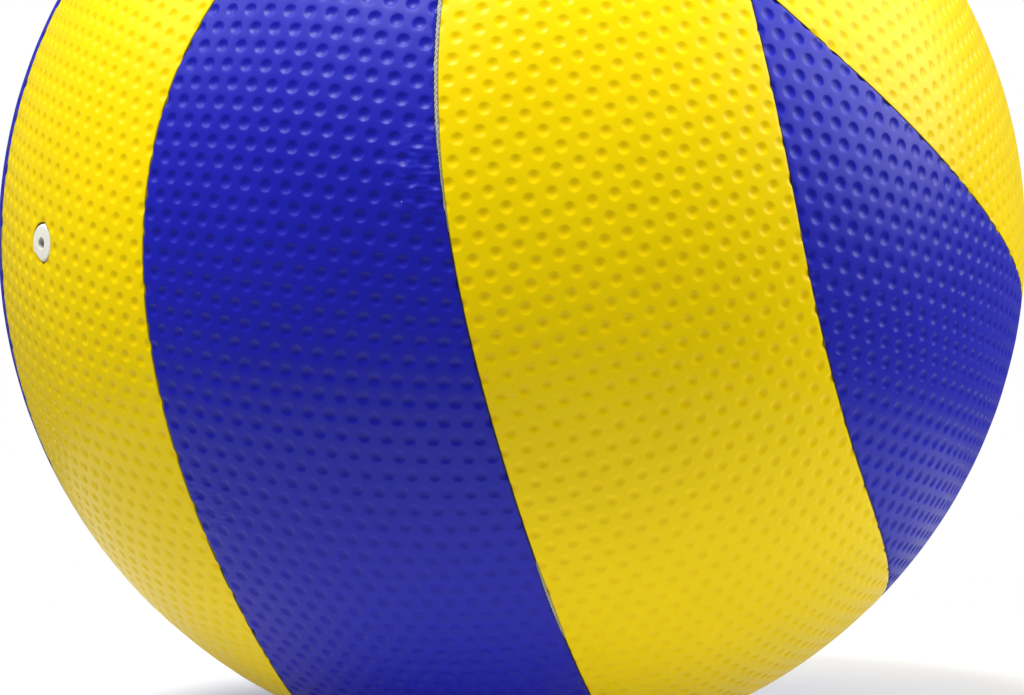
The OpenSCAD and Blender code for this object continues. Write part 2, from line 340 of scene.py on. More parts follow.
class PanelCut:
    """The outline of the lone swirl panel that all eight are turned copies of, in degrees and millimetres."""

    # Step in degrees by which slopes are taken, points along a side before they are evenly spaced, their
    # spacing on the outline, and how far outside the panel they may lie
    PROBE = 0.05
    LINE_STEPS = 4000
    OUTLINE_STEP = 0.45
    SLACK = 0.02

    def __init__(self, settings):
        self.settings = settings
        self.radius = settings.ball_diameter / MM / 2
        self.inner_radius = self.radius - settings.cover_thickness / MM
        self.inset = settings.seam_gap / MM / 2
        self.tip_lat = math.degrees(settings.tip_latitude)

        # The highest term of a long seam makes it run straight into the pole, and that of a short seam takes
        # it to the long seam at the tip
        lean, curl, bend = settings.long_lean, settings.long_curl, settings.long_bend
        self.long_terms = np.array([(lean - 3 * curl + 5 * bend) / 7, -bend, curl, -lean])
        self.short_terms = np.array([0, settings.short_bend, -settings.short_curl, -settings.short_lean])
        miss = self.west_long_side(self.tip_lat) - self.short_side(self.tip_lat)
        self.short_terms[0] = miss / self.swing([1, 0, 0, 0], self.tip_lat)

    @staticmethod
    def swing(terms, lat):
        """Longitude that a seam swings by at a latitude, an odd polynomial with its highest term first."""
        share = lat / QUARTER
        return share * np.polyval(terms, share ** 2)

    def short_side(self, lat):
        """Longitude of the short seam, the panel's west side up to its tip."""
        return SHORT_LON + self.swing(self.short_terms, lat)

    def west_long_side(self, lat):
        """Longitude of the long seam, its west side from the tip to the pole."""
        return LONG_LON + self.swing(self.long_terms, lat)

    def west_side(self, lat):
        """Longitude of the whole west side."""
        return np.where(lat > self.tip_lat, self.west_long_side(lat), self.short_side(lat))

    def east_side(self, lat):
        """Longitude of the long seam on the east side."""
        return self.west_long_side(lat) + LUNE_STEP

    def distance(self, points, side, inwards):
        """Distance of points of the unit sphere from a side, positive towards the panel's inside."""
        lat = latitude(points)
        lon = np.degrees(np.arctan2(points[:, 1], points[:, 0]))
        level = np.cos(np.radians(lat))
        slope = (side(lat + self.PROBE) - side(lat - self.PROBE)) / (2 * self.PROBE)
        gap = (lon - side(lat) + 180) % 360 - 180
        gap = np.radians(np.clip(inwards * gap, -90, 90))
        return self.radius * np.sin(gap) * level / np.hypot(1, slope * level)

    def inside(self, points, opening=shut):
        """Distance of points from the panel's cut edge, with the seam gap and any opening taken off."""
        lat = latitude(points)
        short = self.distance(points, self.short_side, 1) - opening(lat)
        west = np.where(lat > self.tip_lat, self.distance(points, self.west_long_side, 1), short)
        return np.minimum(west, self.distance(points, self.east_side, -1)) - self.inset

    def follow(self, side, lats):
        """Points along a side, and the directions in the skin across it, to the east."""
        places = on_sphere(side(lats), lats)
        north, south = lats + self.PROBE, lats - self.PROBE
        ways = unit(on_sphere(side(north), north) - on_sphere(side(south), south))
        return places, ways, np.cross(ways, places)

    def edge_line(self, side, inwards, opening=shut):
        """Points along one cut edge, evenly spaced from the tip to the pole."""
        lats = np.linspace(-self.tip_lat, QUARTER, self.LINE_STEPS)
        run = np.cumsum(steps_along(on_sphere(side(lats), lats))) * self.radius
        lats = np.interp(np.arange(0, run[-1], self.OUTLINE_STEP), run, lats)
        places, _, across = self.follow(side, lats)
        inset = inwards * (self.inset + opening(lats)) / self.radius
        return unit(places + inset[:, None] * across)

    def outline(self, opening=shut):
        """The whole cut edge as one loop of points of the unit sphere."""
        west, east = self.edge_line(self.west_side, 1, opening), self.edge_line(self.east_side, -1)
        loop = np.concatenate([west, east[::-1]])
        return loop[self.inside(loop, opening) > -self.SLACK]

    def place(self, count, blue):
        """The turn that takes the lone panel to its place on the ball."""
        settings = self.settings
        turn = Matrix.Rotation(settings.swirl_tilt, 3, "X")
        turn = turn @ Matrix.Rotation(-settings.valve_latitude, 3, "Y")
        around = math.radians(LUNE_STEP * (count - 1)) - settings.valve_aside
        turn = turn @ Matrix.Rotation(around, 3, "Z")
        if blue:
            turn = turn @ Matrix.Rotation(math.pi, 3, Vector(on_sphere(SHORT_LON, 0)))
        return np.array(turn)


class PressedSheet:
    """The flat sheet that a panel is pressed from, rolled onto the ball along the panel's middle line."""

    # Latitude up to which the line follows the panel's middle, and its points, then how far in radians it
    # carries on, and its points there; the rest is for finding the nearest place on the line
    MIDDLE_LAT = 62.0
    MIDDLE_STEPS = 1201
    END_TURN = 0.6
    END_STEPS = 300
    COARSE_STEP = 15
    BATCH = 20000
    SOLVE_TURNS = 5
    LEAST_RATE = 0.25

    def __init__(self, cut):
        self.cut = cut
        lats = np.linspace(-self.MIDDLE_LAT, self.MIDDLE_LAT, self.MIDDLE_STEPS)
        line = on_sphere((cut.short_side(lats) + cut.east_side(lats)) / 2, lats)
        before, after = self.run_on(line[0], line[1]), self.run_on(line[-1], line[-2])
        self.points = np.concatenate([before[::-1], line, after])
        self.along = np.cumsum(2 * np.arcsin(steps_along(self.points) / 2)) * cut.radius
        ways = np.gradient(self.points, self.along, axis=0)
        self.ways = unit(ways - dot(ways, self.points)[:, None] * self.points)
        self.sides = np.cross(self.points, self.ways)
        self.bend = dot(np.gradient(self.ways, self.along, axis=0), self.sides)
        self.coarse = np.arange(0, len(self.along), self.COARSE_STEP)
        middle = len(before) + self.MIDDLE_STEPS // 2
        heading = running_sum(self.bend, self.along)
        start = math.atan2(self.ways[middle, 2], -self.ways[middle, 0])
        self.heading = heading - heading[middle] + start
        flat = running_sum(self.course(self.along)[0], self.along)
        self.flat = flat - flat[middle]

    def run_on(self, point, behind):
        """Points of the great circle that carries on from a point of the sphere."""
        way = unit(dot(behind, point) * point - behind)
        turns = np.linspace(0, self.END_TURN, self.END_STEPS)[1:, None]
        return np.cos(turns) * point + np.sin(turns) * way

    def at(self, table, along):
        """Values of a table at distances along the middle line."""
        return np.stack([np.interp(along, self.along, column) for column in table.T], axis=-1)

    def course(self, along):
        """Ahead and left directions on the flat sheet."""
        heading = np.interp(along, self.along, self.heading)
        ahead = np.stack([np.cos(heading), np.sin(heading)], axis=-1)
        left = np.stack([-np.sin(heading), np.cos(heading)], axis=-1)
        return ahead, left

    def to_ball(self, flat):
        """Points of the unit sphere that points of the flat sheet are rolled to."""
        along = np.empty(len(flat))
        for part in np.array_split(np.arange(len(flat)), max(1, len(flat) // self.BATCH)):
            apart = flat[part, None, :] - self.flat[None, self.coarse, :]
            along[part] = self.along[self.coarse[np.argmin((apart ** 2).sum(axis=-1), axis=1)]]
        for _ in range(self.SOLVE_TURNS):
            ahead, left = self.course(along)
            off = flat - self.at(self.flat, along)
            rate = 1 - np.interp(along, self.along, self.bend) * dot(off, left)
            along = along + dot(off, ahead) / np.maximum(rate, self.LEAST_RATE)
        left = self.course(along)[1]
        turn = dot(flat - self.at(self.flat, along), left)[:, None] / self.cut.radius
        return unit(np.cos(turn) * self.at(self.points, along) + np.sin(turn) * self.at(self.sides, along))

    def to_sheet(self, points):
        """Points of the flat sheet that roll to points of the unit sphere."""
        along = self.along[self.coarse[np.argmax(points @ self.points[self.coarse].T, axis=1)]]
        for _ in range(self.SOLVE_TURNS):
            bend = np.interp(along, self.along, self.bend)
            rate = bend * dot(points, self.at(self.sides, along))
            rate = rate - dot(points, self.at(self.points, along)) / self.cut.radius
            along = along - dot(points, self.at(self.ways, along)) / rate
        left = self.course(along)[1]
        aside = self.cut.radius * np.arcsin(np.clip(dot(points, self.at(self.sides, along)), -1, 1))
        return self.at(self.flat, along) + aside[:, None] * left


def fine_points(low, high, pitch, rim_radius, row_turn, phase):
    """Points of a fine triangular mesh over a box of the flat sheet, drawn into rings around each dimple."""
    turn = math.pi / 2 + row_turn
    row, slant = (pitch * np.array([math.cos(way), math.sin(way)]) for way in (turn, turn + math.pi / 3))
    origin = phase[0] * row + phase[1] * slant
    corners = np.reshape(np.meshgrid(*zip(low, high)), (2, -1)) - origin[:, None]
    spans = np.linalg.solve(np.stack([row, slant], axis=1), corners) * FINE_STEPS
    first, last = np.floor(spans.min(axis=1)).astype(int), np.ceil(spans.max(axis=1)).astype(int)
    steps = np.meshgrid(*map(np.arange, first, last + 1), indexing="ij")
    steps = np.stack(steps, axis=-1).reshape(-1, 2)
    flat = origin + (steps[:, :1] * row + steps[:, 1:] * slant) / FINE_STEPS
    within = ((flat > low) & (flat < high)).all(axis=1)
    steps, flat = steps[within], flat[within]

    # The nearest dimple's middle, by rounding on the three axes of the lattice, and the ring around it
    parts = np.column_stack([steps, -steps.sum(axis=1)]) / FINE_STEPS
    whole = np.round(parts)
    worst = np.abs(whole - parts).argmax(axis=1)
    whole[np.arange(len(whole)), worst] -= whole.sum(axis=1)
    ring = np.abs(np.round((parts - whole) * FINE_STEPS)).max(axis=1).astype(int)
    centre = origin + whole[:, :1] * row + whole[:, 1:2] * slant
    shaped = (ring > 0) & (ring < len(RING_SHARES))
    reach = rim_radius * RING_SHARES[ring[shaped]]
    flat[shaped] = centre[shaped] + unit(flat[shaped] - centre[shaped]) * reach[:, None]
    return flat, steps, origin, row / pitch


def fine_faces(steps):
    """Triangles between neighbouring points of the fine mesh."""
    index = np.full(np.ptp(steps, axis=0) + 2, -1)
    index[tuple((steps - steps.min(axis=0)).T)] = np.arange(len(steps))
    here, ahead, aside, across = index[:-1, :-1], index[1:, :-1], index[:-1, 1:], index[1:, 1:]
    faces = np.stack([np.stack([here, ahead, aside], axis=-1), np.stack([ahead, across, aside], axis=-1)])
    faces = faces.reshape(-1, 3)
    return faces[(faces >= 0).all(axis=1)]


def triangulate(points, edges):
    """Triangles between points of the flat sheet, inside the loops that the edges make, facing up."""
    inside_only, closeness = 1, 1e-5
    _, _, faces, sources, _, _ = delaunay_2d_cdt(
        [Vector(point) for point in points], edges.tolist(), [], inside_only, closeness, True)
    faces = np.array([source[0] for source in sources])[np.array(faces)]
    ahead, aside = points[faces[:, 1]] - points[faces[:, 0]], points[faces[:, 2]] - points[faces[:, 0]]
    over = ahead[:, 0] * aside[:, 1] - ahead[:, 1] * aside[:, 0] < 0
    faces[over] = faces[over][:, ::-1]
    return faces


def face_edges(faces):
    """The directed edges of triangles."""
    return np.concatenate([faces[:, [0, 1]], faces[:, [1, 2]], faces[:, [2, 0]]])


def edge_codes(pairs, count):
    """One number for each directed edge between so many points."""
    return pairs.astype(np.int64) @ np.array([count, 1])


def rim_edges(faces, count):
    """Directed edges that only one triangle uses."""
    pairs = face_edges(faces)
    return pairs[~np.isin(edge_codes(pairs, count), edge_codes(pairs[:, ::-1], count))]


def strip_faces(points, rim_count, rim_loops, border):
    """Triangles between the cut edges and the border of the fine mesh inside them."""
    used = np.concatenate([np.arange(rim_count), np.unique(border)])
    place = np.full(len(points), -1)
    place[used] = np.arange(len(used))
    walls = place[border]
    faces = triangulate(points[used], np.concatenate([rim_loops, walls]))

    # Spread from the triangles on the cut edges to their neighbours, up to the border
    wall_codes = edge_codes(np.sort(walls, axis=1), len(used))
    codes = edge_codes(np.sort(face_edges(faces), axis=1), len(used))
    order = np.argsort(codes, kind="stable")
    owner = np.tile(np.arange(len(faces)), 3)[order]
    codes = codes[order]
    shared = (codes[1:] == codes[:-1]) & ~np.isin(codes[1:], wall_codes)
    one, two = owner[:-1][shared], owner[1:][shared]
    kept = (faces < rim_count).any(axis=1)
    reached = 0
    while kept.sum() > reached:
        reached = kept.sum()
        kept[two[kept[one]]] = True
        kept[one[kept[two]]] = True
    return used[faces[kept]]


def flat_axes(settings):
    """Directions across the valve: towards the straight side of its head, and beside that."""
    over = np.array([0, math.sin(settings.flat_turn), -math.cos(settings.flat_turn)])
    return over, np.cross(VALVE_WAY, over)


def flat_sided(radius, flat, around):
    """Radius of a circle with one straight side, by the angle from that side's middle."""
    return np.minimum(radius, flat / np.maximum(np.cos(around), LEAST_COSINE))


class ValveHole:
    """The hole in the cover around the valve's head, round with one straight side."""

    def __init__(self, settings, cut, turn):
        self.radius = (settings.head_diameter / 2 + settings.hole_clear) / MM
        self.flat = settings.flat / MM
        self.ball = cut.radius
        self.way, self.over, self.aside = (turn.T @ axis for axis in (VALVE_WAY, *flat_axes(settings)))

    def distance(self, points):
        """Distance of points of the unit sphere from the hole's edge, positive on the skin."""
        over, aside = self.ball * (points @ self.over), self.ball * (points @ self.aside)
        return np.maximum(np.hypot(over, aside) - self.radius, over - self.flat)

    def outline(self):
        """The hole's edge as a loop of points of the unit sphere."""
        around = np.linspace(0, 2 * np.pi, HOLE_POINTS, endpoint=False)[:, None]
        reach = flat_sided(self.radius, self.flat, around) / self.ball
        across = np.cos(around) * self.over + np.sin(around) * self.aside
        return reach * across + np.sqrt(1 - reach ** 2) * self.way


def store(mesh, name, values):
    """Keeps a number or vector for each point of a mesh, as a named attribute."""
    kind, field = ("FLOAT_VECTOR", "vector") if values.ndim == 2 else ("FLOAT", "value")
    mesh.attributes.new(name, kind, "POINT").data.foreach_set(field, values.ravel())


def panel_mesh(name, sheet, pressing, turn, phase, opening=shut, hole=None):
    """A closed, smooth panel with the places of its dimples stored on it."""
    cut = sheet.cut

    def inside(points):
        """Distance of points of the unit sphere from the nearest cut edge."""
        gap = cut.inside(points, opening)
        return np.minimum(gap, hole.distance(points)) if hole else gap

    # The cut edges, around the panel and around its hole
    outline = cut.outline(opening)
    rims = sheet.to_sheet(np.concatenate([outline, hole.outline()]) if hole else outline)
    rim_count = len(rims)
    rounds = np.split(np.arange(rim_count), [len(outline)])
    loops = np.concatenate([np.stack([part, np.roll(part, -1)], axis=1) for part in rounds])
    low, high = rims.min(axis=0), rims.max(axis=0)

    def uncovered(faces):
        """Triangles that don't lie in the hole."""
        return faces[~((faces >= len(outline)) & (faces < rim_count)).all(axis=1)]

    # The skin: the fine mesh, joined to the cut edges by a strip
    fine, steps, origin, row = fine_points(
        low, high, pressing.pitch / MM, pressing.diameter / MM / 2, pressing.row_turn, phase)
    kept = inside(sheet.to_ball(fine)) > STRIP_WIDTH
    fine, faces = fine[kept], fine_faces(steps[kept])
    joined = np.unique(faces)
    faces, fine = np.searchsorted(joined, faces) + rim_count, fine[joined]
    flat = np.concatenate([rims, fine])
    count = len(flat)
    strip = strip_faces(flat, rim_count, loops, rim_edges(faces, count))
    outer = np.concatenate([faces, uncovered(strip)])
    rim = rim_edges(outer, count)

    # The back, on a coarse mesh, and the walls down to it
    grid = np.meshgrid(*(np.arange(first, last, INNER_STEP) for first, last in zip(low, high)))
    grid = np.stack(grid, axis=-1).reshape(-1, 2)
    grid = grid[inside(sheet.to_ball(grid)) > INNER_STEP / 3]
    inner = uncovered(triangulate(np.concatenate([rims, grid]), loops)[:, ::-1]) + count
    wall = np.stack([rim[:, 1], rim[:, 0], rim[:, 0] + count, rim[:, 1] + count], axis=1)

    outer_ball = sheet.to_ball(flat)
    inner_ball = np.concatenate([outer_ball[:rim_count], sheet.to_ball(grid)])
    points = np.concatenate([outer_ball * cut.radius, inner_ball * cut.inner_radius]) @ turn.T * MM
    mesh = bpy.data.meshes.new(name)
    mesh.from_pydata(points.tolist(), [], outer.tolist() + wall.tolist() + inner.tolist())

    spots = np.zeros((len(points), 3))
    spots[:count, 0] = (flat - origin) @ row
    spots[:count, 1] = (flat - origin) @ np.array([-row[1], row[0]])
    edge, skin = np.zeros(len(points)), np.zeros(len(points))
    edge[rim_count:count] = np.maximum(inside(outer_ball[rim_count:]), 0)
    skin[:count] = 1
    store(mesh, "sheet", spots * MM)
    store(mesh, "edge_distance", edge * MM)
    store(mesh, "skin", skin)
    return mesh


def add_node(tree, kind, inputs=None, **settings):
    """Adds one node with its settings. An input takes a value, or the socket or node to link to it."""
    node = tree.nodes.new(kind)
    for name, value in settings.items():
        setattr(node, name, value)
    for key, value in (inputs or {}).items():
        if isinstance(value, bpy.types.Node):
            value = value.outputs[0]
        if isinstance(value, bpy.types.NodeSocket):
            tree.links.new(value, node.inputs[key])
        else:
            node.inputs[key].default_value = value
    return node


def new_tree(name, shape, sizes, finish, result):
    """An empty Geometry Nodes tree with its named inputs and output, and what adds nodes to it."""
    tree = bpy.data.node_groups.new(name, "GeometryNodeTree")
    tree.interface.new_socket(shape, in_out="INPUT", socket_type="NodeSocketGeometry")
    for size in sizes:
        tree.interface.new_socket(size, in_out="INPUT", socket_type="NodeSocketFloat")
    tree.interface.new_socket(finish, in_out="INPUT", socket_type="NodeSocketMaterial")
    tree.interface.new_socket(result, in_out="OUTPUT", socket_type="NodeSocketGeometry")
    return tree, tree.nodes.new("NodeGroupInput").outputs, partial(add_node, tree)


def pressing_tree():
    """Geometry Nodes that press the dimples into a panel and turn its edges down."""
    tree, given, add = new_tree("pressed_leather", "Panel", (
        "Pitch", "Dimple radius", "Dimple depth", "Dimple rim", "Roll width", "Roll depth", "Ripple size",
        "Ripple depth"), "Leather", "Pressed panel")
    sheet = add(ATTRIBUTE, {"Name": "sheet"}, data_type="FLOAT_VECTOR")
    edge, skin = (add(ATTRIBUTE, {"Name": name}) for name in ("edge_distance", "skin"))

    # Two rectangular grids, one in the middle of the other, make the triangular one
    half = add(VECTOR_MATH, {0: (0.5, math.sqrt(0.75), 0), "Scale": given["Pitch"]}, operation="SCALE")
    back = add(VECTOR_MATH, {0: half, "Scale": -1.0}, operation="SCALE")
    between = add(VECTOR_MATH, {0: sheet, 1: half}, operation="ADD")
    reaches = []
    for grid in (sheet, between):
        off = add(VECTOR_MATH, {0: grid, 1: half, 2: back}, operation="WRAP")
        reaches.append(add(VECTOR_MATH, {0: off}, operation="LENGTH").outputs["Value"])
    nearest = add(MATH, {0: reaches[0], 1: reaches[1]}, operation="MINIMUM")
    share = add(MATH, {0: nearest, 1: given["Dimple radius"]}, operation="DIVIDE")
    square = add(MATH, {0: share, 1: share}, operation="MULTIPLY")
    bowl = add(MATH, {0: 1.0, 1: square}, operation="SUBTRACT", use_clamp=True)
    bowl = add(MATH, {0: bowl, 1: given["Dimple rim"]}, operation="POWER")

    turned = add(MAP_RANGE, {"Value": edge, "From Max": given["Roll width"], "To Min": 1.0, "To Max": 0.0})
    roll = add(MATH, {0: turned, 1: 2.0}, operation="POWER")
    place = add("GeometryNodeInputPosition")
    often = add(MATH, {0: 1.0, 1: given["Ripple size"]}, operation="DIVIDE")
    ripple = add(NOISE, {"Vector": place, "Scale": often, "Detail": 1.0})
    drop = add(MATH, {0: bowl, 1: given["Dimple depth"]}, operation="MULTIPLY")
    for part, depth in ((roll, given["Roll depth"]), (ripple, given["Ripple depth"])):
        drop = add(MATH, {0: part, 1: depth, 2: drop}, operation="MULTIPLY_ADD")
    drop = add(MATH, {0: drop, 1: skin}, operation="MULTIPLY")
    inwards = add(VECTOR_MATH, {0: place, "Scale": -1.0}, operation="SCALE")
    inwards = add(VECTOR_MATH, {0: inwards}, operation="NORMALIZE")
    offset = add(VECTOR_MATH, {0: inwards, "Scale": drop}, operation="SCALE")
    kept = add("GeometryNodeStoreNamedAttribute", {
        "Geometry": given["Panel"], "Name": "pressed", "Value": bowl})
    moved = add("GeometryNodeSetPosition", {"Geometry": kept, "Offset": offset})
    smooth = add("GeometryNodeSetShadeSmooth", {"Geometry": moved})
    real = add("GeometryNodeRealizeInstances", {"Geometry": smooth})
    done = add("GeometryNodeSetMaterial", {"Geometry": real, "Material": given["Leather"]})
    add("NodeGroupOutput", {"Pressed panel": done})
    return tree


def thread_tree():
    """Geometry Nodes that lay one short thread on each point of the cloth's edge."""
    tree, given, add = new_tree("cloth_threads", "Points", ("Length", "Width", "Height"), "Yarn", "Threads")
    way, outwards = (
        add(ATTRIBUTE, {"Name": name}, data_type="FLOAT_VECTOR") for name in ("thread_way", "outwards"))
    share = add(ATTRIBUTE, {"Name": "share"})
    turn = add("FunctionNodeAlignRotationToVector", {"Vector": way}, axis="X")
    turn = add("FunctionNodeAlignRotationToVector", {"Rotation": turn, "Vector": outwards},
               axis="Z", pivot_axis="X")
    size = add("ShaderNodeCombineXYZ", {"X": given["Length"], "Y": given["Width"], "Z": given["Height"]})
    size = add(VECTOR_MATH, {0: size, "Scale": share}, operation="SCALE")
    thread = add("GeometryNodeMeshUVSphere", {"Segments": 8, "Rings": 5, "Radius": 0.5})
    smooth = add("GeometryNodeSetShadeSmooth", {"Geometry": thread})
    laid = add("GeometryNodeInstanceOnPoints", {
        "Points": given["Points"], "Instance": smooth, "Rotation": turn, "Scale": size})
    real = add("GeometryNodeRealizeInstances", {"Geometry": laid})
    done = add("GeometryNodeSetMaterial", {"Geometry": real, "Material": given["Yarn"]})
    add("NodeGroupOutput", {"Threads": done})
    return tree


def new_object(name, data):
    """Adds a mesh, a lamp or a camera to the scene as an object at the origin."""
    thing = bpy.data.objects.new(name, data)
    bpy.context.scene.collection.objects.link(thing)
    return thing


def aim(thing, target):
    """Turns a lamp or the camera towards a place."""
    thing.rotation_euler = (target - thing.location).to_track_quat("-Z", "Y").to_euler()


def apply_modifier(piece, modifier):
    """Keeps the result of a piece's modifier as its plain mesh."""
    graph = bpy.context.evaluated_depsgraph_get()
    made = bpy.data.meshes.new_from_object(
        piece.evaluated_get(graph), preserve_all_data_layers=True, depsgraph=graph)
    piece.modifiers.remove(modifier)
    before = piece.data
    piece.data = made
    bpy.data.meshes.remove(before)
    made.name = piece.name


def press(piece, tree, values):
    """Runs a Geometry Nodes tree on a piece and keeps its result as a plain mesh."""
    sharp = math.radians(60)
    identifiers = {socket.name: socket.identifier for socket in tree.interface.items_tree}
    modifier = piece.modifiers.new("pressing", "NODES")
    modifier.node_group = tree
    for name, value in values.items():
        modifier[identifiers[name]] = value
    apply_modifier(piece, modifier)
    piece.data.set_sharp_from_angle(angle=sharp)


def new_material(name):
    """An empty material, and what adds nodes to it."""
    material = bpy.data.materials.new(name)
    material.use_nodes = True
    material.node_tree.nodes.clear()
    return material, partial(add_node, material.node_tree)


def leather(word, finish, creases):
    """Pressed polyurethane leather.

    A satin skin with a fine grain and a slight cloudiness, painted shade at the bottom of the pressed
    dimples, on its cut edges and along its seams, a few specks of dust and some creases.
    """
    cloud_size, grain_size, grain_depth, dust_spacing = 22 * MM, 0.5 * MM, 0.05 * MM, 7 * MM
    fold_size, fold_depth, fold_squeeze = 1.7 * MM, 0.5 * MM, (0.35, 0.35, 1.0)
    crease_span = {"From Min": 5 * MM, "From Max": 10 * MM}
    dimple_shade_share, dark_width = 0.25, 0.22 * MM
    base, dimple_shade = getattr(finish, word), getattr(finish, word + "_deep")
    roughness, roughness_change = getattr(finish, word + "_roughness"), 0.03
    material, add = new_material("pressed polyurethane leather, " + word)
    place = add("ShaderNodeTexCoord").outputs["Object"]
    skin, edge, pressed = (
        add("ShaderNodeAttribute", attribute_name=name).outputs["Fac"]
        for name in ("skin", "edge_distance", "pressed"))
    cloud = add(NOISE, {"Vector": place, "Scale": 1 / cloud_size, "Detail": 3.0})
    tone = add(MAP_RANGE, {"Value": cloud, **NOISE_SPAN, "To Min": 0.97, "To Max": 1.02})
    plain = add(VECTOR_MATH, {0: base, "Scale": tone.outputs[0]}, operation="SCALE")
    # Painted shade: the deeper a point lies in a dimple, the more its colour darkens towards the
    # dimple-bottom colour
    depth = add(MATH, {0: pressed, 1: dimple_shade_share}, operation="MULTIPLY")
    worn = add(MIX, {0: depth, 6: plain, 7: (*dimple_shade, 1)}, data_type="RGBA")

    # Specks of dust about 0.25 mm across, wherever the middle of a 7 mm cell happens to lie in the surface
    cells = add("ShaderNodeTexVoronoi", {"Vector": place, "Scale": 1 / dust_spacing})
    speck = add(MAP_RANGE, {
        "Value": cells.outputs["Distance"], "From Min": 0.012, "From Max": 0.022,
        "To Min": 0.45, "To Max": 0.0})
    dusty = add(MIX, {0: speck, 6: worn.outputs[2], 7: (*finish.dust, 1)}, data_type="RGBA")

    # Painted shade: the cut edges, and the skin within about 0.22 mm of a seam or the valve's hole, darken
    # towards one dark colour
    seam_shade_strip = add(MAP_RANGE, {"Value": edge, "From Max": dark_width, "To Min": 0.75, "To Max": 0.0})
    not_skin = add(MATH, {0: 1.0, 1: skin}, operation="SUBTRACT")
    painted_dark = add(MATH, {0: seam_shade_strip, 1: not_skin}, operation="MAXIMUM")
    shade = add(MIX, {0: painted_dark, 6: dusty.outputs[2], 7: (*finish.cut_edge, 1)}, data_type="RGBA")
    gloss = add(MAP_RANGE, {
        "Value": cloud, **NOISE_SPAN, "To Min": roughness - roughness_change,
        "To Max": roughness + roughness_change})
    grain = add(NOISE, {"Vector": place, "Scale": 1 / grain_size, "Detail": 2.0})
    surface = add(BUMP, {"Height": grain, "Strength": 0.12, "Distance": grain_depth})

    # Level creases 1 to 2 mm apart, in the places where the skin was drawn too tight
    drawn = 0.0
    for centre in creases:
        away = add(VECTOR_MATH, {0: place, 1: centre}, operation="DISTANCE").outputs["Value"]
        drawn = add(MAP_RANGE, {"Value": away, **crease_span, "To Min": 1.0, "To Max": drawn}).outputs[0]
    if creases:
        level = add(VECTOR_MATH, {0: place, 1: fold_squeeze}, operation="MULTIPLY")
        folds = add(NOISE, {"Vector": level, "Scale": 1 / fold_size, "Detail": 1.0})
        crease = add(MATH, {0: folds, 1: drawn}, operation="MULTIPLY")
        surface = add(BUMP, {"Height": crease, "Distance": fold_depth, "Normal": surface})
    shader = add(SHADER, {
        "Base Color": shade.outputs[2], "Roughness": gloss, "Normal": surface, "IOR": 1.5,
        "Specular IOR Level": getattr(finish, word + "_gloss")})
    add("ShaderNodeOutputMaterial", {"Surface": shader})
    return material


def plain_finish(name, base, roughness, grain, bump, shade=0.9, worn=None):
    """A dull moulded, foamed or spun material with a fine grain, its size and depth in millimetres.

    It may have painted shade: a second, darker colour inside a channel of a given radius, along the X axis.
    """
    material, add = new_material(name)
    place = add("ShaderNodeTexCoord").outputs["Object"]
    grains = add(NOISE, {"Vector": place, "Scale": 1 / (grain * MM)})
    tone = add(MAP_RANGE, {"Value": grains, **NOISE_SPAN, "To Min": shade, "To Max": 1.05})
    tint = add(VECTOR_MATH, {0: base, "Scale": tone.outputs[0]}, operation="SCALE").outputs[0]
    # Painted shade inside the channel: within the given radius of the X axis the colour turns to a second,
    # darker one
    if worn:
        shade_colour, radius = worn
        across = add(VECTOR_MATH, {0: place, 1: (0, 1, 1)}, operation="MULTIPLY")
        reach = add(VECTOR_MATH, {0: across}, operation="LENGTH").outputs["Value"]
        span = {"From Min": radius, "From Max": radius + 0.1 * MM}
        inside = add(MAP_RANGE, {"Value": reach, **span, "To Min": 1.0, "To Max": 0.0})
        tint = add(MIX, {0: inside, 6: tint, 7: (*shade_colour, 1)}, data_type="RGBA").outputs[2]
    surface = add(BUMP, {"Height": grains, "Distance": bump * MM})
    shader = add(SHADER, {"Base Color": tint, "Roughness": roughness, "Normal": surface})
    add("ShaderNodeOutputMaterial", {"Surface": shader})
    return material


def loft(name, sections, closed):
    """A closed mesh through loops of points, one after the other, in a ring or with its ends capped."""
    sharp = math.radians(40)
    count, around = len(sections), len(sections[0])
    index = np.arange(count * around).reshape(count, around)
    if closed:
        index = np.concatenate([index, index[:1]])
    after = np.roll(index, -1, axis=1)
    quads = np.stack([index[:-1], index[1:], after[1:], after[:-1]], axis=-1).reshape(-1, 4)
    caps = [] if closed else [index[0].tolist(), index[-1].tolist()]
    mesh = bpy.data.meshes.new(name)
    mesh.from_pydata((np.concatenate(sections) * MM).tolist(), [], quads.tolist() + caps)
    shape = bmesh.new()
    shape.from_mesh(mesh)
    bmesh.ops.remove_doubles(shape, verts=shape.verts, dist=MERGE_DISTANCE * MM)
    bmesh.ops.dissolve_degenerate(shape, edges=shape.edges, dist=MERGE_DISTANCE * MM)
    bmesh.ops.recalc_face_normals(shape, faces=shape.faces)
    shape.to_mesh(mesh)
    shape.free()
    mesh.shade_smooth()
    mesh.set_sharp_from_angle(angle=sharp)
    return mesh


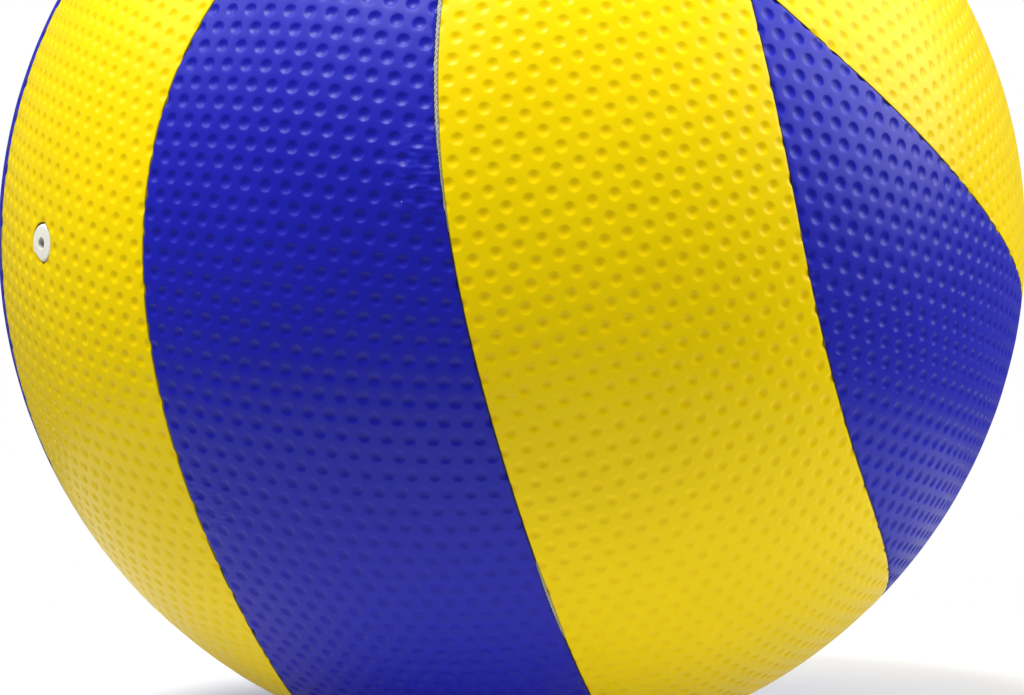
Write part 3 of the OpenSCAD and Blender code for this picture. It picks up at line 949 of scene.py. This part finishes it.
class VOLLEYBALL_OT_stage(bpy.types.Operator):
    """Adds the camera, the pale table and the soft light"""

    bl_idname = "volleyball.stage"
    bl_label = "Stage"

    def execute(self, context):
        settings = context.scene.ball_stage
        turn, rise = settings.camera_azimuth, settings.camera_elevation
        right = Vector((math.cos(turn), math.sin(turn), 0))
        nearer = Vector((math.sin(turn), -math.cos(turn), 0))
        up = Vector((0, 0, 1))
        lens = bpy.data.cameras.new("camera")
        lens.lens = settings.lens
        camera = new_object("camera", lens)
        camera.location = settings.camera_distance * (math.cos(rise) * nearer + math.sin(rise) * up)
        aim(camera, settings.aim_height * up)
        context.scene.camera = camera

        ways = np.linspace(0, 2 * np.pi, LATHE_STEPS, endpoint=False)
        reach = settings.table_diameter / 2
        rim = [(reach * math.cos(way), reach * math.sin(way), cad_low[2]) for way in ways]
        mesh = bpy.data.meshes.new("table")
        mesh.from_pydata(rim, [], [range(LATHE_STEPS)])
        table = new_object("table", mesh)

        # White table top. The camera sees it as white paper, and the ball is lit by a duller white.
        material, add = new_material("white laminate table")
        seen = add("ShaderNodeLightPath").outputs["Is Camera Ray"]
        white = add(MIX, {0: seen, 6: (*settings.table, 1), 7: (*settings.table_seen, 1)}, data_type="RGBA")
        shader = add(SHADER, {"Base Color": white.outputs[2], "Roughness": 0.8, "Specular IOR Level": 0.2})
        add("ShaderNodeOutputMaterial", {"Surface": shader})
        mesh.materials.append(material)

        for side in ("key", "left", "right"):
            place = getattr(settings, side + "_place")
            lamp = bpy.data.lights.new(side + " softbox", "AREA")
            lamp.shape = "DISK"
            lamp.size = getattr(settings, side + "_size")
            face = math.pi * (lamp.size / 2) ** 2
            lamp.energy = getattr(settings, side + "_light") * math.pi * face
            softbox = new_object(side + " softbox", lamp)
            softbox.location = place[0] * right + place[1] * nearer + place[2] * up
            aim(softbox, Vector())

        # A dim room. The camera itself sees plain white.
        world = bpy.data.worlds.new("studio")
        context.scene.world = world
        world.use_nodes = True
        world.node_tree.nodes.clear()
        add = partial(add_node, world.node_tree)
        white = (1, 1, 1, 1)
        room = add("ShaderNodeBackground", {"Color": white, "Strength": settings.room_light})
        backdrop = add("ShaderNodeBackground", {"Color": white, "Strength": 1.0})
        seen = add("ShaderNodeLightPath").outputs["Is Camera Ray"]
        mix = add("ShaderNodeMixShader", {0: seen, 1: room, 2: backdrop})
        add("ShaderNodeOutputWorld", {"Surface": mix})
        context.scene.view_settings.view_transform = "Standard"
        return {"FINISHED"}


def cloth_opening(settings, lat):
    """Width in millimetres by which the seam with the cloth stands open, at a latitude on the swirl."""
    start, full, end, low_middle, low_reach = np.degrees(
        [settings.start, settings.full, settings.end, settings.low_middle, settings.low_reach])
    upper = np.interp(lat, [start, full, end, end + CLOSING_LATS], [0, 1, 1, 0]) * settings.width / MM
    lower = np.clip(LOWER_FULLNESS * (1 - np.abs(lat - low_middle) / low_reach), 0, 1)
    return upper + lower * settings.low_width / MM


class VOLLEYBALL_OT_cover_panels(bpy.types.Operator):
    """Makes the four yellow and four blue panels of dimpled leather"""

    bl_idname = "volleyball.cover_panels"
    bl_label = "Cover panels"

    def execute(self, context):
        scene = context.scene
        pressing, finish = scene.ball_pressing, scene.ball_finish
        sheet = PressedSheet(PanelCut(scene.ball_cut))
        tree = pressing_tree()
        for blue, word in enumerate(("yellow", "blue")):
            creases = (finish.upper_creases, finish.lower_creases) if blue else ()
            skin = leather(word, finish, creases)
            for count in range(1, PANEL_COUNT + 1):
                node = f"{word}_cover_{count}"
                turn = sheet.cut.place(count, blue)
                phase = (ROW_PHASE * count % 1, (SLANT_PHASE * count + BLUE_PHASE * blue) % 1)
                opening, hole = shut, None
                if count == CLOTH_PANEL:
                    opening = partial(self.stand_back, scene.ball_cloth, blue)
                if count == VALVE_PANEL and not blue:
                    hole = ValveHole(scene.ball_valve, sheet.cut, turn)
                mesh = panel_mesh(node + "_skin", sheet, pressing, turn, phase, opening, hole)
                piece = new_object(node + "_skin", mesh)
                press(piece, tree, {
                    "Pitch": pressing.pitch, "Dimple radius": pressing.diameter / 2,
                    "Dimple depth": getattr(pressing, word + "_depth"),
                    "Dimple rim": getattr(pressing, word + "_rim"), "Roll width": pressing.roll_width,
                    "Roll depth": pressing.roll_depth, "Ripple size": pressing.ripple_size,
                    "Ripple depth": pressing.ripple_depth, "Leather": skin})
                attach(piece, "ball")
                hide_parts(node)
        return {"FINISHED"}

    @staticmethod
    def stand_back(cloth, blue, lat):
        """How far a panel stands back from the seam with the cloth, by latitude on the panel."""
        share = 1 - cloth.yellow_share if blue else cloth.yellow_share
        return share * cloth_opening(cloth, -lat if blue else lat)


class VOLLEYBALL_OT_seam_cloth(bpy.types.Operator):
    """Makes the cloth edge and its threads in the seam that stands open"""

    bl_idname = "volleyball.seam_cloth"
    bl_label = "Seam cloth"

    def execute(self, context):
        settings, finish = context.scene.ball_cloth, context.scene.ball_finish
        cut = PanelCut(context.scene.ball_cut)

        # Dull greyish cloth with a mottled weave, and paler threads with a finer one
        cloth = plain_finish(
            "cotton backing cloth", finish.cloth, roughness=0.9, grain=0.25, bump=0.05, shade=0.7)
        yarn = plain_finish("spun cotton yarn", finish.yarn, roughness=0.8, grain=0.12, bump=0.02, shade=0.8)
        wide = cloth_opening(settings, CLOTH_LATS) > LEAST_OPENING
        parts = np.split(CLOTH_LATS, np.flatnonzero(np.diff(wide)) + 1)
        stretches = [part for part in parts if cloth_opening(settings, part[0]) > LEAST_OPENING]
        tree = thread_tree()
        for count, lats in enumerate(stretches, 1):
            self.lay_strip(f"seam_cloth_{count}", cut, lats, settings, cloth)
            self.lay_threads(f"seam_threads_{count}", cut, lats, settings, tree, yarn)
        return {"FINISHED"}

    @staticmethod
    def on_seam(cut, settings, lats, off, height):
        """Points beside the seam, so far off it towards the blue panel and so far from the ball's surface."""
        places, _, across = cut.follow(cut.short_side, lats)
        points = unit(places - off[:, None] / cut.radius * across)
        return points * (cut.radius - settings.depth / MM + height) @ cut.place(CLOTH_PANEL, False).T

    def lay_strip(self, name, cut, lats, settings, cloth):
        """The strip of cloth along one open stretch, slightly crowned."""
        width = cloth_opening(settings, lats)
        left = -settings.yellow_share * width - cut.inset - TUCK
        right = (1 - settings.yellow_share) * width + cut.inset + TUCK
        lines = [self.on_seam(cut, settings, lats, left + share * (right - left), lift)
                 for share, lift in CLOTH_SECTION]
        strip = new_object(name, loft(name, list(np.stack(lines, axis=1)), False))
        strip.data.materials.append(cloth)
        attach(strip, "ball")

    def lay_threads(self, name, cut, lats, settings, tree, yarn):
        """Two rows of short slanted threads along one stretch of the cloth."""
        run = cut.radius * np.radians(lats[-1] - lats[0]) * SEAM_SLANT
        lats = np.linspace(lats[0], lats[-1], int(run / (settings.thread_pitch / MM / 2)))
        row = np.arange(len(lats)) % 2
        width = cloth_opening(settings, lats)
        points = self.on_seam(
            cut, settings, lats, (THREAD_ROWS[row] - settings.yellow_share) * width, THREAD_LIFT)
        places, ways, across = cut.follow(cut.short_side, lats)
        slant = (2 * row - 1) * math.tan(settings.thread_slant)
        turn = cut.place(CLOTH_PANEL, False)
        mesh = bpy.data.meshes.new(name)
        mesh.from_pydata((points * MM).tolist(), [], [])
        store(mesh, "thread_way", unit(ways + slant[:, None] * across) @ turn.T)
        store(mesh, "outwards", places @ turn.T)
        store(mesh, "share", np.clip(width / (settings.width / MM), LEAST_THREAD, 1))
        threads = new_object(name, mesh)
        press(threads, tree, {
            "Length": settings.thread_length, "Width": settings.thread_width,
            "Height": settings.thread_width * THREAD_FLATNESS, "Yarn": yarn})
        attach(threads, "ball")


class VOLLEYBALL_OT_valve(bpy.types.Operator):
    """Makes the white valve plug with its needle channel and slit"""

    bl_idname = "volleyball.valve"
    bl_label = "Valve plug"

    def execute(self, context):
        settings, finish = context.scene.ball_valve, context.scene.ball_finish
        crown = (context.scene.ball_cut.ball_diameter / 2 - settings.recess) / MM
        seat = crown - settings.head_height / MM
        end = seat - settings.shank_length / MM
        bottom = crown - settings.needle_length / MM
        reach, height = np.array(self.profile(settings, crown, seat, end, bottom)).T

        # The profile is turned about the axis, cut straight on one side, and leans over towards the crown
        around = np.linspace(0, 2 * np.pi, LATHE_STEPS, endpoint=False)[:, None]
        reach = flat_sided(reach, (settings.flat - settings.flat_clear) / MM, around)[..., None]
        over, aside = flat_axes(settings)
        across = reach * (np.cos(around)[..., None] * over + np.sin(around)[..., None] * aside)
        raised = np.clip((height - seat) / (crown - seat), 0, 1)
        leaning = height + math.tan(settings.lean) * raised * across[..., 1]
        rows = across + leaning[..., None] * VALVE_WAY
        plug = new_object("valve_plug_rubber", loft("valve_plug_rubber", list(rows), True))
        self.cut_slit(plug, settings, bottom, end)

        # White natural rubber, satin, with painted shade turning it grey in the needle channel
        rubber = plain_finish(
            "white valve rubber", finish.valve, roughness=0.45, grain=0.8, bump=0.02, shade=0.94,
            worn=(finish.channel, settings.needle_diameter / 2))
        plug.data.materials.clear()
        plug.data.materials.append(rubber)
        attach(plug, "valve")
        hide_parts("valve_plug")
        return {"FINISHED"}

    @staticmethod
    def profile(settings, crown, seat, end, bottom):
        """Radii and heights from the bottom of the channel, over the head and down to the shank's end."""
        crown_steps = 8
        head, shank, channel = (
            width / MM / 2 for width in (
                settings.head_diameter, settings.shank_diameter, settings.needle_diameter))
        dome, rim, mouth, fillet = (
            radius / MM for radius in (
                settings.crown_radius, settings.rim_round, settings.needle_round, settings.fillet))

        def crown_height(reach):
            """Height of the crown, so far from the axis."""
            return crown - dome + math.sqrt(dome ** 2 - reach ** 2)

        def bend(reach, height, radius, first, last):
            """Points of a rounded edge about a middle, from one direction to another in degrees."""
            turns = np.radians(np.linspace(first, last, BEND_STEPS))
            return [(reach + radius * math.cos(turn), height + radius * math.sin(turn)) for turn in turns]

        inner, outer = channel + mouth, head - rim
        line = [(0, bottom), (channel * settings.needle_end, bottom)]
        line += [(channel, bottom + settings.needle_taper / MM)]
        line += bend(inner, crown_height(inner) - mouth, mouth, 180, 90)
        line += [(reach, crown_height(reach)) for reach in np.linspace(inner, outer, crown_steps)[1:-1]]
        line += bend(outer, crown_height(outer) - rim, rim, 90, 0)
        line += bend(head - fillet, seat + fillet, fillet, 0, -90)
        line += [(shank + fillet, seat), (shank, seat - fillet), (shank, end + 2 * fillet)]
        return line + bend(shank - fillet, end + fillet, fillet, 0, -90) + [(0, end)]

    @staticmethod
    def cut_slit(plug, settings, bottom, end):
        """Opens a slit from the channel's end through the plug's."""
        overcut = 2
        cutter = bpy.data.meshes.new("slit")
        box = bmesh.new()
        size = Vector(((bottom - end + overcut) * MM, settings.slit_length, settings.slit_width))
        middle = Vector(VALVE_WAY) * (bottom + end) / 2 * MM
        bmesh.ops.create_cube(box, size=1, matrix=Matrix.LocRotScale(middle, None, size))
        box.to_mesh(cutter)
        box.free()
        slit = new_object("slit", cutter)
        opened = plug.modifiers.new("slit", "BOOLEAN")
        opened.object = slit
        apply_modifier(plug, opened)
        bpy.data.objects.remove(slit)


class VOLLEYBALL_OT_inner_layers(bpy.types.Operator):
    """Gives the layers under the skin and the valve's sleeve their finishes"""

    bl_idname = "volleyball.inner_layers"
    bl_label = "Inner layers"

    def execute(self, context):
        finish = context.scene.ball_finish

        # Pale, dull foam with small pores, black rubbers with a low sheen, and a cream, rough winding
        foam = plain_finish("closed-cell foam", finish.foam, roughness=0.9, grain=0.6, bump=0.1)
        rubber = plain_finish("moulded rubber", finish.rubber, roughness=0.65, grain=0.8, bump=0.05)
        thread = plain_finish("nylon thread winding", finish.thread, roughness=0.6, grain=0.5, bump=0.2)
        butyl = plain_finish("butyl rubber", finish.butyl, roughness=0.5, grain=1.2, bump=0.05)
        finishes = {"carcass": rubber, "thread_winding": thread, "bladder": butyl, "balance_patch": butyl,
                    "valve_sleeve": rubber}
        for name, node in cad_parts.items():
            material = foam if "_backing_" in name else finishes.get(name)
            if material:
                node.data.materials.clear()
                node.data.materials.append(material)
        return {"FINISHED"}


class VOLLEYBALL_PT_build(bpy.types.Panel):
    """Lists the steps that build the ball's looks"""

    bl_idname = "VOLLEYBALL_PT_build"
    bl_label = "Dimpled volleyball"
    bl_space_type = "VIEW_3D"
    bl_region_type = "UI"
    bl_category = "Volleyball"

    def draw(self, context):
        for step in STEPS:
            self.layout.operator(step.bl_idname)
        for name in SETTINGS:
            box = self.layout.box()
            group = getattr(context.scene, name)
            for prop in group.bl_rna.properties:
                if prop.identifier not in ("rna_type", "name"):
                    box.prop(group, prop.identifier)


STEPS = (VOLLEYBALL_OT_stage, VOLLEYBALL_OT_cover_panels, VOLLEYBALL_OT_seam_cloth, VOLLEYBALL_OT_valve,
         VOLLEYBALL_OT_inner_layers)
CLASSES = (*SETTINGS.values(), *STEPS, VOLLEYBALL_PT_build)


def register():
    """Adds the settings, the steps and the panel to Blender."""
    for item in CLASSES:
        bpy.utils.register_class(item)
    for name, group in SETTINGS.items():
        setattr(bpy.types.Scene, name, bpy.props.PointerProperty(type=group))


def unregister():
    """Takes them out again."""
    for name in SETTINGS:
        delattr(bpy.types.Scene, name)
    for item in reversed(CLASSES):
        bpy.utils.unregister_class(item)


def main():
    """Builds the ball's looks."""
    register()
    bpy.ops.volleyball.stage()
    bpy.ops.volleyball.cover_panels()
    bpy.ops.volleyball.seam_cloth()
    bpy.ops.volleyball.valve()
    bpy.ops.volleyball.inner_layers()


if __name__ == "__main__":
    main()
